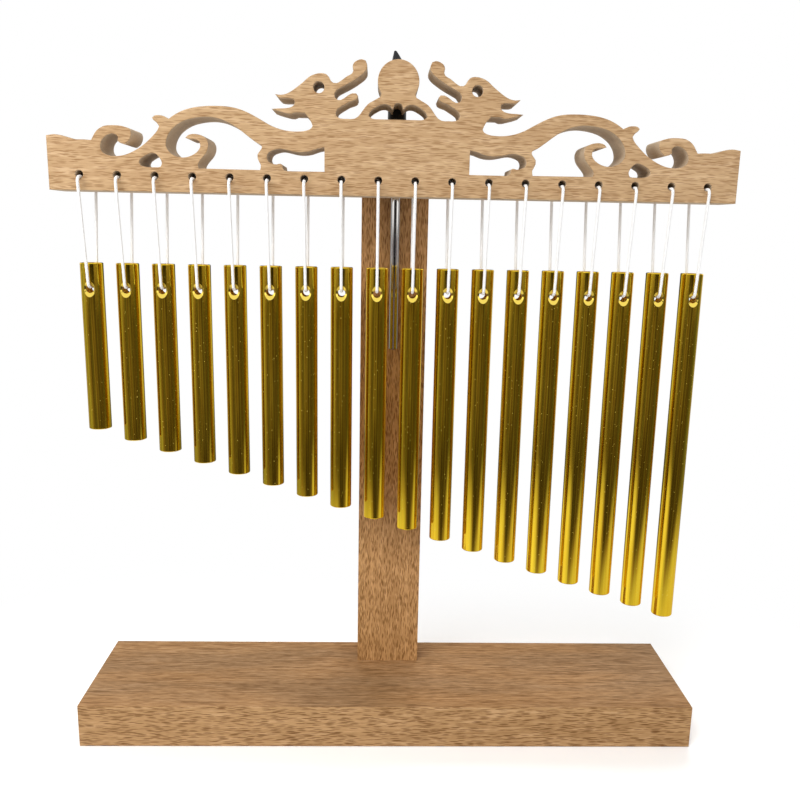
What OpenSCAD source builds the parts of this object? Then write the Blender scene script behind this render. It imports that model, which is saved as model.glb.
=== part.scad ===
// Bar chimes on a wooden stand: a fretted crossbar carries eighteen gold tubes on loops of cord,
// and a beater stands in a holder behind it.
// Millimetres. +Z is up, +X is right as the player sees it, and the front faces -Y.
// The origin is the centre of the base board's underside.

/* [Stand] */
// Width of the base board
base_w = 280; // [240:1:320]
// Depth of the base board, front to back
base_d = 60; // [56:1:80]
// Thickness of the base board
base_t = 20; // [15:0.5:25]
// Width of the post
post_w = 30; // [27:0.5:32]
// Thickness of the post, front to back
post_t = 18; // [14:0.5:20]
// Step from the base board's back edge to the post's back face
post_inset = 0.6; // [0:0.1:3]

/* [Crossbar] */
// Height of the crossbar's lower edge above the table
bar_z = 246; // [240:1:260]
// Height of the crossbar, from its lower edge to the top of the pearl
bar_h = 54; // [50:0.5:60]
// Thickness of the crossbar
bar_t = 18; // [16:0.5:20]
// From the outermost cord hole to the end of the crossbar
end_margin = 12.5; // [11:0.5:16]
// Height of the cord holes above the crossbar's lower edge
hole_rise = 6.4; // [6:0.1:7]
// Diameter of the cord holes
hole_d = 3.2; // [3.1:0.1:3.6]
// Diameter of the pearl between the dragons
pearl_d = 16.9; // [15:0.1:18]
// Diameter of the dragons' eyes
eye_d = 4.5; // [3:0.1:5]

/* [Tubes] */
// Distance from one tube's centre line to the next
pitch = 15.35; // [15:0.05:16]
// Outer diameter of the tubes
tube_d = 9.6; // [9:0.1:10]
// Wall thickness of the tubes
tube_wall = 1.2; // [1:0.1:1.5]
// Length of the shortest tube
short_tube_length = 72.8; // [64:0.2:76]
// How much longer the second tube is than the shortest
tube_step = 4.97; // [4.5:0.01:5.2]
// How much that step grows from each tube to the next
step_growth = 0.025; // [0:0.005:0.04]
// Gap between the crossbar's lower edge and the tubes' tops
tube_drop = 29.8; // [26:0.2:32]
// From a tube's top to the centre of the hole across it
cross_drop = 11; // [9:0.5:13]
// Diameter of the hole across a tube
cross_d = 3.4; // [3.2:0.1:3.8]
// Diameter of that hole's countersink at the surface
sink_d = 6.8; // [6:0.1:7]
// Angle of that countersink
sink_angle = 120; // [100:5:120]

/* [Cords] */
// Diameter of the braided cord
cord_d = 1.3; // [1:0.1:1.4]
// Diameter of the knot inside the crossbar
knot_d = 2.8; // [2.2:0.1:2.9]
// Radius of the cord's bends, to its centre line
bend_r = 2.2; // [2:0.1:2.4]

/* [Beater] */
// Diameter of the steel rod
rod_d = 4.5; // [4:0.1:5]
// Length of rod that shows below the grip
rod_hang = 98; // [80:1:110]
// Depth of the rod inside the grip
rod_seat = 12; // [8:1:14]
// Diameter of the grip
grip_d = 8; // [7.6:0.1:9]
// Height of the grip, from its shoulder to its tip
grip_h = 30.8; // [26:0.2:36]
// Height of the holder's underside above the crossbar's lower edge
holder_rise = 10.5; // [9:0.5:12]

/* [Screws] */
// Head diameter of the two screws through the post
bar_screw_head = 7; // [6:0.1:7.5]
// Shank diameter of those screws
bar_screw_d = 3.5; // [3:0.1:4]
// Length of those screws
bar_screw_length = 40; // [36:1:42]
// Distance of those screws from the middle
bar_screw_x = 9; // [8:0.5:9.5]
// Depth of those screws below the level top of the crossbar
bar_screw_drop = 10.7; // [8:0.1:14]
// Head diameter of the two screws under the base board
base_screw_head = 8; // [7:0.1:9]
// Shank diameter of those screws
base_screw_d = 4; // [3.5:0.1:5]
// Length of those screws
base_screw_length = 45; // [40:1:60]
// Distance of those screws from the middle
base_screw_x = 8; // [7:0.5:9]

/* [Hidden] */
tube_count = 18;

// Clearances
grip_gap = 0.2;
rod_gap = 0.2;
seat_gap = 0.02;
screw_gap = 0.05;
cord_bar_gap = 0.1;
cord_tube_gap = 0.15;

// Each straight strand of a loop is this much thicker than the bends and laps over them, for one solid
strand_swell = 0.02;
strand_lap = 0.1;

// Small edges and depths
tube_chamfer = 0.3;
hole_mouth = 0.4;
neck_lap = 0.9;
rod_chamfer = 0.5;
screw_point = 4;
screw_recess = 0.2;
cross_slot_w = 0.9;
cross_slot_share = 0.6;
cross_slot_depth = 1.4;
curve_step = 1.6;
over = 1;

// Places along Y
post_back = base_d / 2 - post_inset;
post_front = post_back - post_t;
rear_gap = grip_d + 2 * grip_gap;
bar_back = post_front - rear_gap;
row_y = bar_back - bar_t / 2;
beater_y = bar_back + rear_gap / 2;

// Places along Z
block_share = 0.568;
block_top = bar_z + block_share * bar_h;
hole_z = bar_z + hole_rise;
tube_top = bar_z - tube_drop;
cross_z = tube_top - cross_drop;

// Widths
bar_w = (tube_count - 1) * pitch + 2 * end_margin;
bar_span = [bar_w / 2, bar_h];

// The cord's loop, seen along X, with the row's middle at zero
run_high = hole_z - hole_d / 2 + cord_bar_gap + cord_d / 2;
run_low = cross_z + cross_d / 2 - cord_tube_gap - cord_d / 2;
high_bend = [-bar_t / 2, run_high - bend_r];
low_bend = [bend_r - tube_d / 2 - cord_tube_gap - cord_d / 2, run_low + bend_r];
strand_tilt = atan((low_bend[0] - high_bend[0]) / (high_bend[1] - low_bend[1]));

// Colours
beech = "#c99360";
dark_beech = "#b97f55";
gold = "#c99a2e";
steel = "#c9ccd1";
zinc = "#b9bcc0";
black = "#1d1d1f";
white = "#f0efec";

// Shapes of the fretwork as shares: across from the middle to the crossbar's end, and up from its
// lower edge to the pearl's top. A third value of 1 marks a corner, and the rest is a smooth curve.

// Outer edge of one half: lower edge, end, tail scrolls, back, mane, head and jaw
dragon_shares = [
    [0, 0, 1], [1, 0, 1], [1, 0.398, 1], [0.976, 0.407], [0.955, 0.400], [0.920, 0.374],
    [0.895, 0.374], [0.874, 0.371, 1], [0.856, 0.443], [0.837, 0.474], [0.815, 0.481],
    [0.776, 0.471], [0.762, 0.455], [0.759, 0.425], [0.762, 0.392], [0.769, 0.364],
    [0.779, 0.346, 1], [0.790, 0.352], [0.799, 0.370], [0.797, 0.396, 1], [0.802, 0.412],
    [0.811, 0.421], [0.822, 0.415], [0.835, 0.395], [0.844, 0.366], [0.848, 0.330],
    [0.846, 0.297], [0.836, 0.271], [0.822, 0.260], [0.805, 0.258], [0.787, 0.264],
    [0.765, 0.284], [0.744, 0.313], [0.727, 0.343], [0.712, 0.377], [0.697, 0.416],
    [0.684, 0.456], [0.680, 0.482], [0.686, 0.506], [0.695, 0.524], [0.699, 0.541],
    [0.693, 0.556], [0.681, 0.561], [0.667, 0.557], [0.652, 0.536, 1], [0.640, 0.559],
    [0.611, 0.599], [0.581, 0.622], [0.551, 0.633], [0.516, 0.637], [0.480, 0.633],
    [0.450, 0.617], [0.423, 0.589], [0.395, 0.551], [0.361, 0.503], [0.339, 0.482],
    [0.312, 0.468], [0.287, 0.466], [0.262, 0.474], [0.248, 0.491], [0.244, 0.509],
    [0.247, 0.530], [0.256, 0.570], [0.267, 0.602, 1], [0.294, 0.602, 1], [0.304, 0.591],
    [0.326, 0.599], [0.345, 0.612], [0.360, 0.625, 1], [0.343, 0.629], [0.318, 0.633],
    [0.304, 0.642], [0.296, 0.657], [0.294, 0.678], [0.296, 0.694], [0.304, 0.702],
    [0.326, 0.702], [0.341, 0.708], [0.350, 0.731, 1], [0.335, 0.727], [0.318, 0.736],
    [0.304, 0.755], [0.287, 0.787], [0.269, 0.824], [0.255, 0.857], [0.238, 0.879],
    [0.218, 0.888], [0.204, 0.880], [0.197, 0.861], [0.191, 0.832], [0.185, 0.821],
    [0.175, 0.820], [0.163, 0.838], [0.146, 0.871], [0.132, 0.892], [0.129, 0.910],
    [0.131, 0.939], [0.127, 0.967], [0.117, 0.985], [0.104, 0.993], [0.094, 0.984],
    [0.090, 0.960], [0.090, 0.927], [0.097, 0.899], [0.112, 0.868], [0.126, 0.843],
    [0.143, 0.817], [0.162, 0.791], [0.175, 0.771], [0.181, 0.748], [0.181, 0.722],
    [0.176, 0.705], [0.164, 0.700], [0.155, 0.712], [0.143, 0.735], [0.131, 0.750],
    [0.120, 0.750], [0.115, 0.733], [0.118, 0.712], [0.128, 0.697], [0.140, 0.687],
    [0.153, 0.667], [0.165, 0.648], [0.174, 0.631], [0.178, 0.606], [0.175, 0.580],
    [0.165, 0.568], [0.145, 0.566], [0.125, 0.568], [0.114, 0.585], [0.101, 0.629],
    [0.087, 0.674], [0.067, 0.706], [0.052, 0.728, 1]
];

// Window under the pearl, one half
pearl_window_shares = [
    [0.066, block_share, 1], [0.077, 0.575], [0.0845, 0.592, 1], [0.078, 0.625],
    [0.062, 0.655], [0.047, 0.674], [0.034, 0.676], [0.024, 0.666], [0.0165, 0.645, 1],
    [0.0135, 0.645, 1], [0.0133, 0.657], [0.0094, 0.680], [0, 0.689]
];

// Window under the dragon's back, with the scroll that stands in it
arch_window_shares = [
    [0.571, 0.180, 1], [0.395, 0.178, 1], [0.393, 0.215], [0.398, 0.240], [0.402, 0.265],
    [0.402, 0.292], [0.395, 0.318], [0.389, 0.348], [0.391, 0.360], [0.404, 0.377],
    [0.424, 0.414], [0.444, 0.454], [0.464, 0.491], [0.486, 0.522], [0.509, 0.544],
    [0.533, 0.555], [0.557, 0.554], [0.584, 0.543], [0.607, 0.525], [0.628, 0.495],
    [0.645, 0.456], [0.656, 0.412], [0.661, 0.371], [0.661, 0.332], [0.654, 0.300],
    [0.643, 0.276], [0.628, 0.261], [0.613, 0.258], [0.598, 0.266], [0.582, 0.286],
    [0.571, 0.311], [0.565, 0.341], [0.566, 0.370], [0.575, 0.389], [0.587, 0.394],
    [0.598, 0.393], [0.6065, 0.402], [0.600, 0.420], [0.586, 0.431], [0.569, 0.428],
    [0.555, 0.416], [0.546, 0.397], [0.542, 0.372], [0.542, 0.339], [0.547, 0.300],
    [0.557, 0.266], [0.568, 0.232], [0.573, 0.205]
];

// Window under the dragon's paw
paw_window_shares = [
    [0.210, 0.175, 1], [0.322, 0.174, 1], [0.326, 0.181], [0.330, 0.198], [0.331, 0.220],
    [0.336, 0.228], [0.348, 0.222], [0.361, 0.228], [0.372, 0.244], [0.375, 0.270],
    [0.370, 0.307], [0.354, 0.328], [0.337, 0.337], [0.319, 0.330], [0.300, 0.319],
    [0.275, 0.314], [0.253, 0.323], [0.233, 0.342], [0.210, 0.355, 1]
];

// Drop-shaped hole by the dragon's hind leg
drop_shares = [
    [0.740, 0.218], [0.736, 0.240], [0.726, 0.259], [0.711, 0.280], [0.699, 0.286],
    [0.689, 0.272], [0.681, 0.248], [0.676, 0.215], [0.680, 0.187], [0.694, 0.182],
    [0.711, 0.182], [0.727, 0.186], [0.738, 0.198]
];

// Centre of the dragon's eye
eye_share = [0.226, 0.787];

// Angle below the pearl's centre line at which its neck meets it
neck_angle = 31;

// Half section of the grip as shares of its radius and its height, from the axis round to the tip
grip_shares = [
    [0, 0, 1], [1, 0, 1], [1, 0.50, 1], [0.93, 0.66], [0.72, 0.80], [0.46, 0.90], [0.26, 0.96],
    [0.12, 1, 1], [0, 1, 1]
];

$fn = 48;

// A node's name with its number in the row, from 1 at the left
function numbered(stem, number) = str(stem, number < 10 ? "_0" : "_", number);

// Places and lengths along the row
function tube_x(number) = (number - (tube_count + 1) / 2) * pitch;
function tube_length(number) =
    let (steps = number - 1)
    short_tube_length + steps * tube_step + step_growth * steps * (steps - 1) / 2;

// A point given in shares, at its real place
function placed(point, span) = [point[0] * span[0], point[1] * span[1]];
function is_corner(point) = len(point) > 2;
function heading(from, to) = (to - from) / norm(to - from);

// Direction of a smooth curve at a point between two neighbours: the nearer one counts for more
function direction(before, at, after) =
    let (back = norm(at - before), ahead = norm(after - at))
    (heading(before, at) * ahead + heading(at, after) * back) / (back + ahead);

// Points of the curve from a up to b, which is left out
function stretch(a, b, leaving, arriving) =
    let (chord = norm(b - a), steps = ceil(chord / curve_step))
    [for (i = [0:steps - 1])
        let (t = i / steps, rest = 1 - t)
        rest * rest * (a * (1 + 2 * t) + leaving * chord * t)
        + t * t * (b * (1 + 2 * rest) - arriving * chord * rest)];

// Closed curve through points that are given in shares: straight from corner to corner, smooth elsewhere
function curve(points, span) =
    let (count = len(points))
    [for (i = [0:count - 1])
        let (
            next = points[(i + 1) % count],
            before = placed(points[(i + count - 1) % count], span),
            a = placed(points[i], span),
            b = placed(next, span),
            after = placed(points[(i + 2) % count], span),
            leaving = is_corner(points[i]) ? heading(a, b) : direction(before, a, b),
            arriving = is_corner(next) ? heading(a, b) : direction(a, b, after),
            straight = is_corner(points[i]) && is_corner(next)
        )
        each straight ? [a] : stretch(a, b, leaving, arriving)];

// One half's points, followed by the other half's on the way back
function mirrored(point) = is_corner(point) ? [-point[0], point[1], 1] : [-point[0], point[1]];
function both_halves(points) =
    concat(points, [for (i = [len(points) - 1:-1:0]) if (points[i][0] > 0) mirrored(points[i])]);

// The halves reach a little way into the pearl
pearl_r = pearl_d / 2;
pearl_up = bar_h - pearl_r;
neck_r = pearl_r - neck_lap;
neck_share = [neck_r * cos(neck_angle) / bar_span[0], (pearl_up - neck_r * sin(neck_angle)) / bar_h, 1];
outline_shares = both_halves(concat(dragon_shares, [neck_share]));

// Countersunk wood screw with a cross slot, its head's face at the origin and its point towards +Z
module wood_screw(head, shank, length) {
    head_h = (head - shank) / 2;
    slot = head * cross_slot_share;
    difference() {
        union() {
            cylinder(h = head_h, d1 = head, d2 = shank);
            translate([0, 0, head_h]) cylinder(h = length - head_h - screw_point, d = shank);
            translate([0, 0, length - screw_point]) cylinder(h = screw_point, d1 = shank, d2 = 0);
        }
        for (turn = [0, 90])
            rotate([0, 0, turn])
                cube([slot, cross_slot_w, 2 * cross_slot_depth], center = true);
    }
}

// Hole that such a screw fits, open above its head
module screw_hole(head, shank, length) {
    translate([0, 0, -over]) cylinder(h = over, d = head);
    cylinder(h = (head - shank) / 2, d1 = head, d2 = shank);
    cylinder(h = length + screw_gap, d = shank + 2 * screw_gap);
}

module at_bar_screws() {
    for (side = [-1, 1])
        translate([side * bar_screw_x, post_back, block_top - bar_screw_drop])
            rotate([90, 0, 0])
                children();
}

module at_base_screws() {
    for (side = [-1, 1])
        translate([side * base_screw_x, post_back - post_t / 2, screw_recess])
            children();
}

module bar_screw_holes() {
    at_bar_screws() screw_hole(bar_screw_head, bar_screw_d, bar_screw_length);
}

module base_screw_holes() {
    at_base_screws() screw_hole(base_screw_head, base_screw_d, base_screw_length);
}

module base_board() {
    color(dark_beech)
        difference() {
            translate([-base_w / 2, -base_d / 2, 0]) cube([base_w, base_d, base_t]);
            base_screw_holes();
        }
}

module post() {
    color(dark_beech)
        difference() {
            translate([-post_w / 2, post_front, base_t]) cube([post_w, post_t, block_top - base_t]);
            bar_screw_holes();
            base_screw_holes();
        }
}

// One window of each pair, as a flat shape on the crossbar's right half
module fret_window(shares) {
    polygon(curve(shares, bar_span));
}

// The crossbar's face, upright in the XY plane with its lower edge on the X axis
module fretwork() {
    difference() {
        union() {
            polygon(curve(outline_shares, bar_span));
            translate([0, pearl_up]) circle(r = pearl_r);
        }
        polygon(curve(both_halves(pearl_window_shares), bar_span));
        for (side = [0, 1])
            mirror([side, 0]) {
                fret_window(arch_window_shares);
                fret_window(paw_window_shares);
                fret_window(drop_shares);
                translate(placed(eye_share, bar_span)) circle(d = eye_d);
            }
    }
}

// Hole for a cord along Y, eased at both mouths
module cord_hole() {
    rotate([90, 0, 0]) {
        cylinder(h = bar_t + 2 * over, d = hole_d, center = true);
        for (side = [0, 1])
            mirror([0, 0, side])
                translate([0, 0, bar_t / 2 - hole_mouth])
                    cylinder(h = hole_mouth + over, d1 = hole_d, d2 = hole_d + 2 * (hole_mouth + over));
    }
}

module crossbar() {
    color(beech)
        difference() {
            translate([0, bar_back, bar_z])
                rotate([90, 0, 0])
                    linear_extrude(bar_t)
                        fretwork();
            for (number = [1:tube_count])
                translate([tube_x(number), row_y, hole_z])
                    cord_hole();
            bar_screw_holes();
        }
}

// Block between the crossbar and the post, with the bore that the beater stands in
module beater_holder() {
    holder_z = bar_z + holder_rise;
    holder_h = block_top - holder_z;
    color(beech)
        difference() {
            translate([-post_w / 2, bar_back, holder_z]) cube([post_w, rear_gap, holder_h]);
            translate([0, beater_y, holder_z - over])
                cylinder(h = holder_h + 2 * over, d = rod_d + 2 * rod_gap);
            bar_screw_holes();
        }
}

module crossbar_screws() {
    color(zinc)
        at_bar_screws() wood_screw(bar_screw_head, bar_screw_d, bar_screw_length);
}

module base_screws() {
    color(zinc)
        at_base_screws() wood_screw(base_screw_head, base_screw_d, base_screw_length);
}

module beater_rod() {
    rod_r = rod_d / 2;
    rod_h = rod_hang + rod_seat;
    color(steel)
        translate([0, beater_y, block_top - rod_hang])
            rotate_extrude()
                polygon([
                    [0, 0], [rod_r - rod_chamfer, 0], [rod_r, rod_chamfer],
                    [rod_r, rod_h - rod_chamfer], [rod_r - rod_chamfer, rod_h], [0, rod_h]
                ]);
}

// Its shoulder rests on the holder
module beater_grip() {
    color(black)
        translate([0, beater_y, block_top])
            difference() {
                rotate_extrude() polygon(curve(grip_shares, [grip_d / 2, grip_h]));
                translate([0, 0, -over]) cylinder(h = over + rod_seat + seat_gap, d = rod_d + 2 * seat_gap);
            }
}

// Hole across a tube along Y, countersunk in both walls
module cross_hole() {
    sink_slope = tan(sink_angle / 2);
    sink_depth = (sink_d - cross_d) / 2 / sink_slope;
    rotate([90, 0, 0]) {
        cylinder(h = tube_d + 2 * over, d = cross_d, center = true);
        for (side = [0, 1])
            mirror([0, 0, side])
                translate([0, 0, tube_d / 2 - sink_depth])
                    cylinder(h = sink_depth + over, d1 = cross_d, d2 = sink_d + 2 * over * sink_slope);
    }
}

module tube(number) {
    length = tube_length(number);
    outer = tube_d / 2;
    inner = outer - tube_wall;
    color(gold)
        translate([tube_x(number), row_y, tube_top - length])
            difference() {
                rotate_extrude()
                    polygon([
                        [inner, 0], [outer - tube_chamfer, 0], [outer, tube_chamfer],
                        [outer, length - tube_chamfer], [outer - tube_chamfer, length], [inner, length]
                    ]);
                translate([0, 0, length - cross_drop]) cross_hole();
            }
}

// Bend of the cord about a centre, from the angle where a level run meets it
module cord_bend(centre, from, turn) {
    translate(centre)
        rotate([0, 0, from])
            rotate_extrude(angle = turn)
                translate([bend_r, 0])
                    circle(d = cord_d);
}

// Level run of the cord, from one bend to the bend at its other side
module cord_run(height, half) {
    translate([0, height, 0])
        rotate([0, 90, 0])
            cylinder(h = 2 * half, d = cord_d, center = true);
}

// One side of the loop, drawn in the XY plane: bend, straight strand, bend
module cord_side() {
    cord_bend(high_bend, 90, 90 + strand_tilt);
    translate(high_bend)
        rotate([0, 0, 180 + strand_tilt])
            translate([bend_r, -strand_lap, 0])
                rotate([-90, 0, 0])
                    cylinder(h = norm(low_bend - high_bend) + 2 * strand_lap, d = cord_d + strand_swell);
    cord_bend(low_bend, 270, strand_tilt - 90);
}

// Closed loop through the crossbar and across the tube, with its knot inside the crossbar
module cord(number) {
    color(white)
        translate([tube_x(number), row_y, 0])
            rotate([90, 0, 90]) {
                cord_run(run_high, -high_bend[0]);
                cord_run(run_low, -low_bend[0]);
                cord_side();
                mirror([1, 0, 0]) cord_side();
                translate([0, hole_z, 0]) sphere(d = knot_d);
            }
}

base_board();
post();
crossbar();
beater_holder();
crossbar_screws();
base_screws();
beater_rod();
beater_grip();
for (number = [1:tube_count]) {
    tube(number);
    cord(number);
}
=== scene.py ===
"""Bar chimes: the looks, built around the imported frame. Metres, in the CAD model's frame."""

import math

import bmesh
import bpy
from mathutils import Matrix, Vector


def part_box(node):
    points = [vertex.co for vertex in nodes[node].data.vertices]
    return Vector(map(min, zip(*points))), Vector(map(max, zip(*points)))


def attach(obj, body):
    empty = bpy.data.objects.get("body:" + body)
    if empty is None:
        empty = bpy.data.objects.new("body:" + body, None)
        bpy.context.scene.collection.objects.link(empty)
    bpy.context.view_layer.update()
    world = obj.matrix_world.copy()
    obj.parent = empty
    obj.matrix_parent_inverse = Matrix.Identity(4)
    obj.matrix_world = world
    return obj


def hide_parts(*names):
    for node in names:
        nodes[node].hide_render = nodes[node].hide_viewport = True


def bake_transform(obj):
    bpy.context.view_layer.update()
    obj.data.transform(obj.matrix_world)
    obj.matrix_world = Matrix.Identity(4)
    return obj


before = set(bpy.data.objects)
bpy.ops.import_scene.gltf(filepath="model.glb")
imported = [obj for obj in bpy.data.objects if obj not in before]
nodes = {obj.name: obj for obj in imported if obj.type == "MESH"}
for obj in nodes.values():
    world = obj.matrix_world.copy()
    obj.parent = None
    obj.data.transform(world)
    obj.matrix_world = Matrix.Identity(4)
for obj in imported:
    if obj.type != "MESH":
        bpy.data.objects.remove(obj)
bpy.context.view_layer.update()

MM = 0.001
TUBES = range(1, 19)
MIDDLE_TUBE = (TUBES[0] + TUBES[-1]) / 2
PITCH = 15.35 * MM
ROW_Y = -6 * MM
BAR_FRONT = -15 * MM
BAR_BACK = 3 * MM
BEATER_Y = 7.2 * MM


def tube_x(number):
    return (number - MIDDLE_TUBE) * PITCH


def numbered(stem, number):
    return f"{stem}_{number:02d}"


# Camera: where the photograph was taken from, found from the corners of the base and the crossbar

CAMERA_AT = Vector((-7.4, -367.8, 233.4)) * MM
CAMERA_YAW = math.radians(1.70)
CAMERA_PITCH = math.radians(11.81)
CAMERA_ROLL = math.radians(1.13)
LENS = 37.05
SENSOR = 36
NEAREST_SEEN = 10 * MM


def place_camera():
    data = bpy.data.cameras.new("camera")
    data.lens = LENS
    data.sensor_width = SENSOR
    data.clip_start = NEAREST_SEEN
    camera = bpy.data.objects.new("camera", data)
    bpy.context.scene.collection.objects.link(camera)
    ahead = Vector((
        math.sin(CAMERA_YAW) * math.cos(CAMERA_PITCH),
        math.cos(CAMERA_YAW) * math.cos(CAMERA_PITCH),
        -math.sin(CAMERA_PITCH),
    ))
    level = Vector((math.cos(CAMERA_YAW), -math.sin(CAMERA_YAW), 0))
    upright = level.cross(ahead)
    across = math.cos(CAMERA_ROLL) * level + math.sin(CAMERA_ROLL) * upright
    up = math.cos(CAMERA_ROLL) * upright - math.sin(CAMERA_ROLL) * level
    turn = Matrix((across, up, -ahead)).transposed().to_4x4()
    camera.matrix_world = Matrix.Translation(CAMERA_AT) @ turn
    bpy.context.scene.camera = camera


place_camera()


# Short calls for node trees

class Tree:
    """One node tree under construction. Inputs are values or sockets."""

    def __init__(self, owner):
        owner.use_nodes = True
        self.tree = owner.node_tree
        self.tree.nodes.clear()

    def add(self, kind, inputs=None, **settings):
        made = self.tree.nodes.new(kind)
        for name, value in settings.items():
            setattr(made, name, value)
        for name, value in (inputs or {}).items():
            if isinstance(value, bpy.types.NodeSocket):
                self.tree.links.new(value, made.inputs[name])
            else:
                made.inputs[name].default_value = value
        return made

    def math(self, operation, *values):
        return self.add("ShaderNodeMath", dict(enumerate(values)), operation=operation).outputs[0]

    def step(self, value, low, high, to_low=0.0, to_high=1.0):
        """Smooth step of a value between two levels."""
        inputs = {"Value": value, "From Min": low, "From Max": high, "To Min": to_low, "To Max": to_high}
        return self.add("ShaderNodeMapRange", inputs, interpolation_type="SMOOTHSTEP").outputs[0]

    def fade(self, value, levels, depth):
        """Smooth step from 0 to that depth, between two levels."""
        return self.step(value, *levels, 0.0, depth)

    def mix(self, factor, a, b, blend="MIX"):
        """Mix of two colours."""
        return self.add(
            "ShaderNodeMix", {0: factor, 6: a, 7: b}, data_type="RGBA", blend_type=blend
        ).outputs[2]

    def scaled(self, where, scale):
        return self.add("ShaderNodeVectorMath", {0: where, 1: scale}, operation="MULTIPLY").outputs[0]

    def noise(self, where, detail=2.0, roughness=0.5):
        inputs = {"Vector": where, "Scale": 1.0, "Detail": detail, "Roughness": roughness}
        return self.add("ShaderNodeTexNoise", inputs).outputs[0]

    def place(self):
        return self.add("ShaderNodeTexCoord").outputs["Object"]


def rgb(red, green, blue):
    return (red, green, blue, 1.0)


def grain_scale(along, length, width):
    """Scale that makes a texture's cells that long along the grain and that wide across it."""
    return [1 / (length if axis == along else width) for axis in range(3)]


# Materials. A size is a pair of lengths in metres, along and across the grain or the streaks. Levels are
# the two values of a pattern between which a mark begins and is full.

WAVE_SIZE = (0.035, 0.011)
WAVE_DEPTH = 2.0 * MM
BAND_SIZE = (0.13, 0.011)
BAND_LEVELS = (0.3, 0.7)
FIGURE_SIZE = (0.10, 0.020)
FIGURE_LEVELS = (0.35, 0.65)
FIGURE_TONE = rgb(0.82, 0.78, 0.76)
LINE_WIDTH = 1.1 * MM
LINE_ROUGHNESS = 0.65
DARK_LINE_LEVELS = (0.50, 0.64)
DARK_LINE_TONE = 0.6
PALE_LINE_LEVELS = (0.48, 0.34)
PALE_LINE_DEPTH = 0.5
PALE_LINE_TONE = rgb(1.28, 1.36, 1.55)
RAY_LEVELS = (0.50, 0.26)
RAY_SCATTER = 0.9
# Shares of the rays' depth: of the lines, of what they gain on a level face, and of what the rays lose there
LINE_SHARE = 0.45
LEVEL_LINE_GAIN = 0.5
LEVEL_RAY_LOSS = 0.5
# Where a face counts as level, for its grain and for the painted shade of faces that look up
LYING_LEVELS = (0.5, 0.9)
WALL_LEVELS = (0.75, 0.2)
WALL_TONE = rgb(0.575, 0.485, 0.365)
LINE_RELIEF = 0.4
WOOD_ROUGHNESS = (0.5, 0.64)


def beech(name, light, dark, ray, along, rays, line_length, top_shade_and_grain=rgb(0.9, 0.9, 0.9), wall=0.0):
    """Beech, with broad bands, fine grain lines and the short dark rays that mark it, along one axis.

    rays is how far apart the rays are along and across the grain, and how dark they are. line_length is
    that of a grain line. The tone given for upper faces darkens the faces that look up: painted shade, for
    the less light that falls on a top, and partly the other cut through the grain.
    wall is how far a sawn wall, one that doesn't look to the front or back, takes the tone of a wall.
    """
    ray_along, ray_across, ray_depth = rays
    material = bpy.data.materials.new(name)
    t = Tree(material)
    place = t.place()
    normal = t.add("ShaderNodeSeparateXYZ", {0: t.add("ShaderNodeTexCoord").outputs["Normal"]}).outputs
    waves = t.add("ShaderNodeTexNoise", {
        "Vector": t.scaled(place, grain_scale(along, *WAVE_SIZE)), "Scale": 1.0, "Detail": 2.0,
    }).outputs["Color"]
    sway = t.add("ShaderNodeVectorMath", {0: waves, 1: (0.5, 0.5, 0.5)}, operation="SUBTRACT").outputs[0]
    bent = t.add(
        "ShaderNodeVectorMath", {0: sway, 1: [WAVE_DEPTH] * 3, 2: place}, operation="MULTIPLY_ADD"
    ).outputs[0]
    bands = t.noise(t.scaled(bent, grain_scale(along, *BAND_SIZE)), 3.0)
    figure = t.noise(t.scaled(bent, grain_scale(along, *FIGURE_SIZE)), 2.0)
    lines = t.noise(t.scaled(bent, grain_scale(along, line_length, LINE_WIDTH)), 3.0, LINE_ROUGHNESS)
    nearest_ray = t.add("ShaderNodeTexVoronoi", {
        "Vector": t.scaled(bent, grain_scale(along, ray_along, ray_across)), "Scale": 1.0,
        "Randomness": RAY_SCATTER,
    }, feature="F1").outputs["Distance"]
    ray_mark = t.step(nearest_ray, *RAY_LEVELS)
    level_face = t.step(t.math("ABSOLUTE", normal[2]), *LYING_LEVELS)

    line_depth = t.math("MULTIPLY_ADD", level_face, LEVEL_LINE_GAIN * ray_depth, LINE_SHARE * ray_depth)
    ray_strength = t.math("MULTIPLY_ADD", level_face, -LEVEL_RAY_LOSS * ray_depth, ray_depth)
    colour = t.mix(t.step(bands, *BAND_LEVELS), light, dark)
    dark_line = t.math("MULTIPLY", t.step(lines, *DARK_LINE_LEVELS), line_depth)
    colour = t.mix(dark_line, colour, t.mix(DARK_LINE_TONE, colour, ray))
    pale_line = t.fade(lines, PALE_LINE_LEVELS, PALE_LINE_DEPTH)
    colour = t.mix(pale_line, colour, t.mix(1.0, light, PALE_LINE_TONE, "MULTIPLY"))
    colour = t.mix(t.math("MULTIPLY", ray_mark, ray_strength), colour, ray)
    # Faces that look up take a darker tone: painted shade of the tops, and partly their other cut through the
    # grain
    top_shade_and_grain_tone = t.mix(t.step(figure, *FIGURE_LEVELS), top_shade_and_grain, FIGURE_TONE)
    upper = t.step(normal[2], *LYING_LEVELS)
    colour = t.mix(upper, colour, t.mix(1.0, colour, top_shade_and_grain_tone, "MULTIPLY"))
    if wall:
        sawn = t.fade(t.math("ABSOLUTE", normal[1]), WALL_LEVELS, wall)
        colour = t.mix(sawn, colour, WALL_TONE)

    height = t.math("SUBTRACT", t.math("MULTIPLY", lines, LINE_RELIEF), ray_mark)
    bump = t.add("ShaderNodeBump", {"Height": height, "Strength": 0.2, "Distance": 0.1 * MM})
    shader = t.add("ShaderNodeBsdfPrincipled", {
        "Base Color": colour, "Roughness": t.step(lines, 0.2, 0.8, *WOOD_ROUGHNESS),
        "Specular IOR Level": 0.3, "Normal": bump.outputs[0],
    })
    t.add("ShaderNodeOutputMaterial", {0: shader.outputs[0]})
    return material


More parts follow.
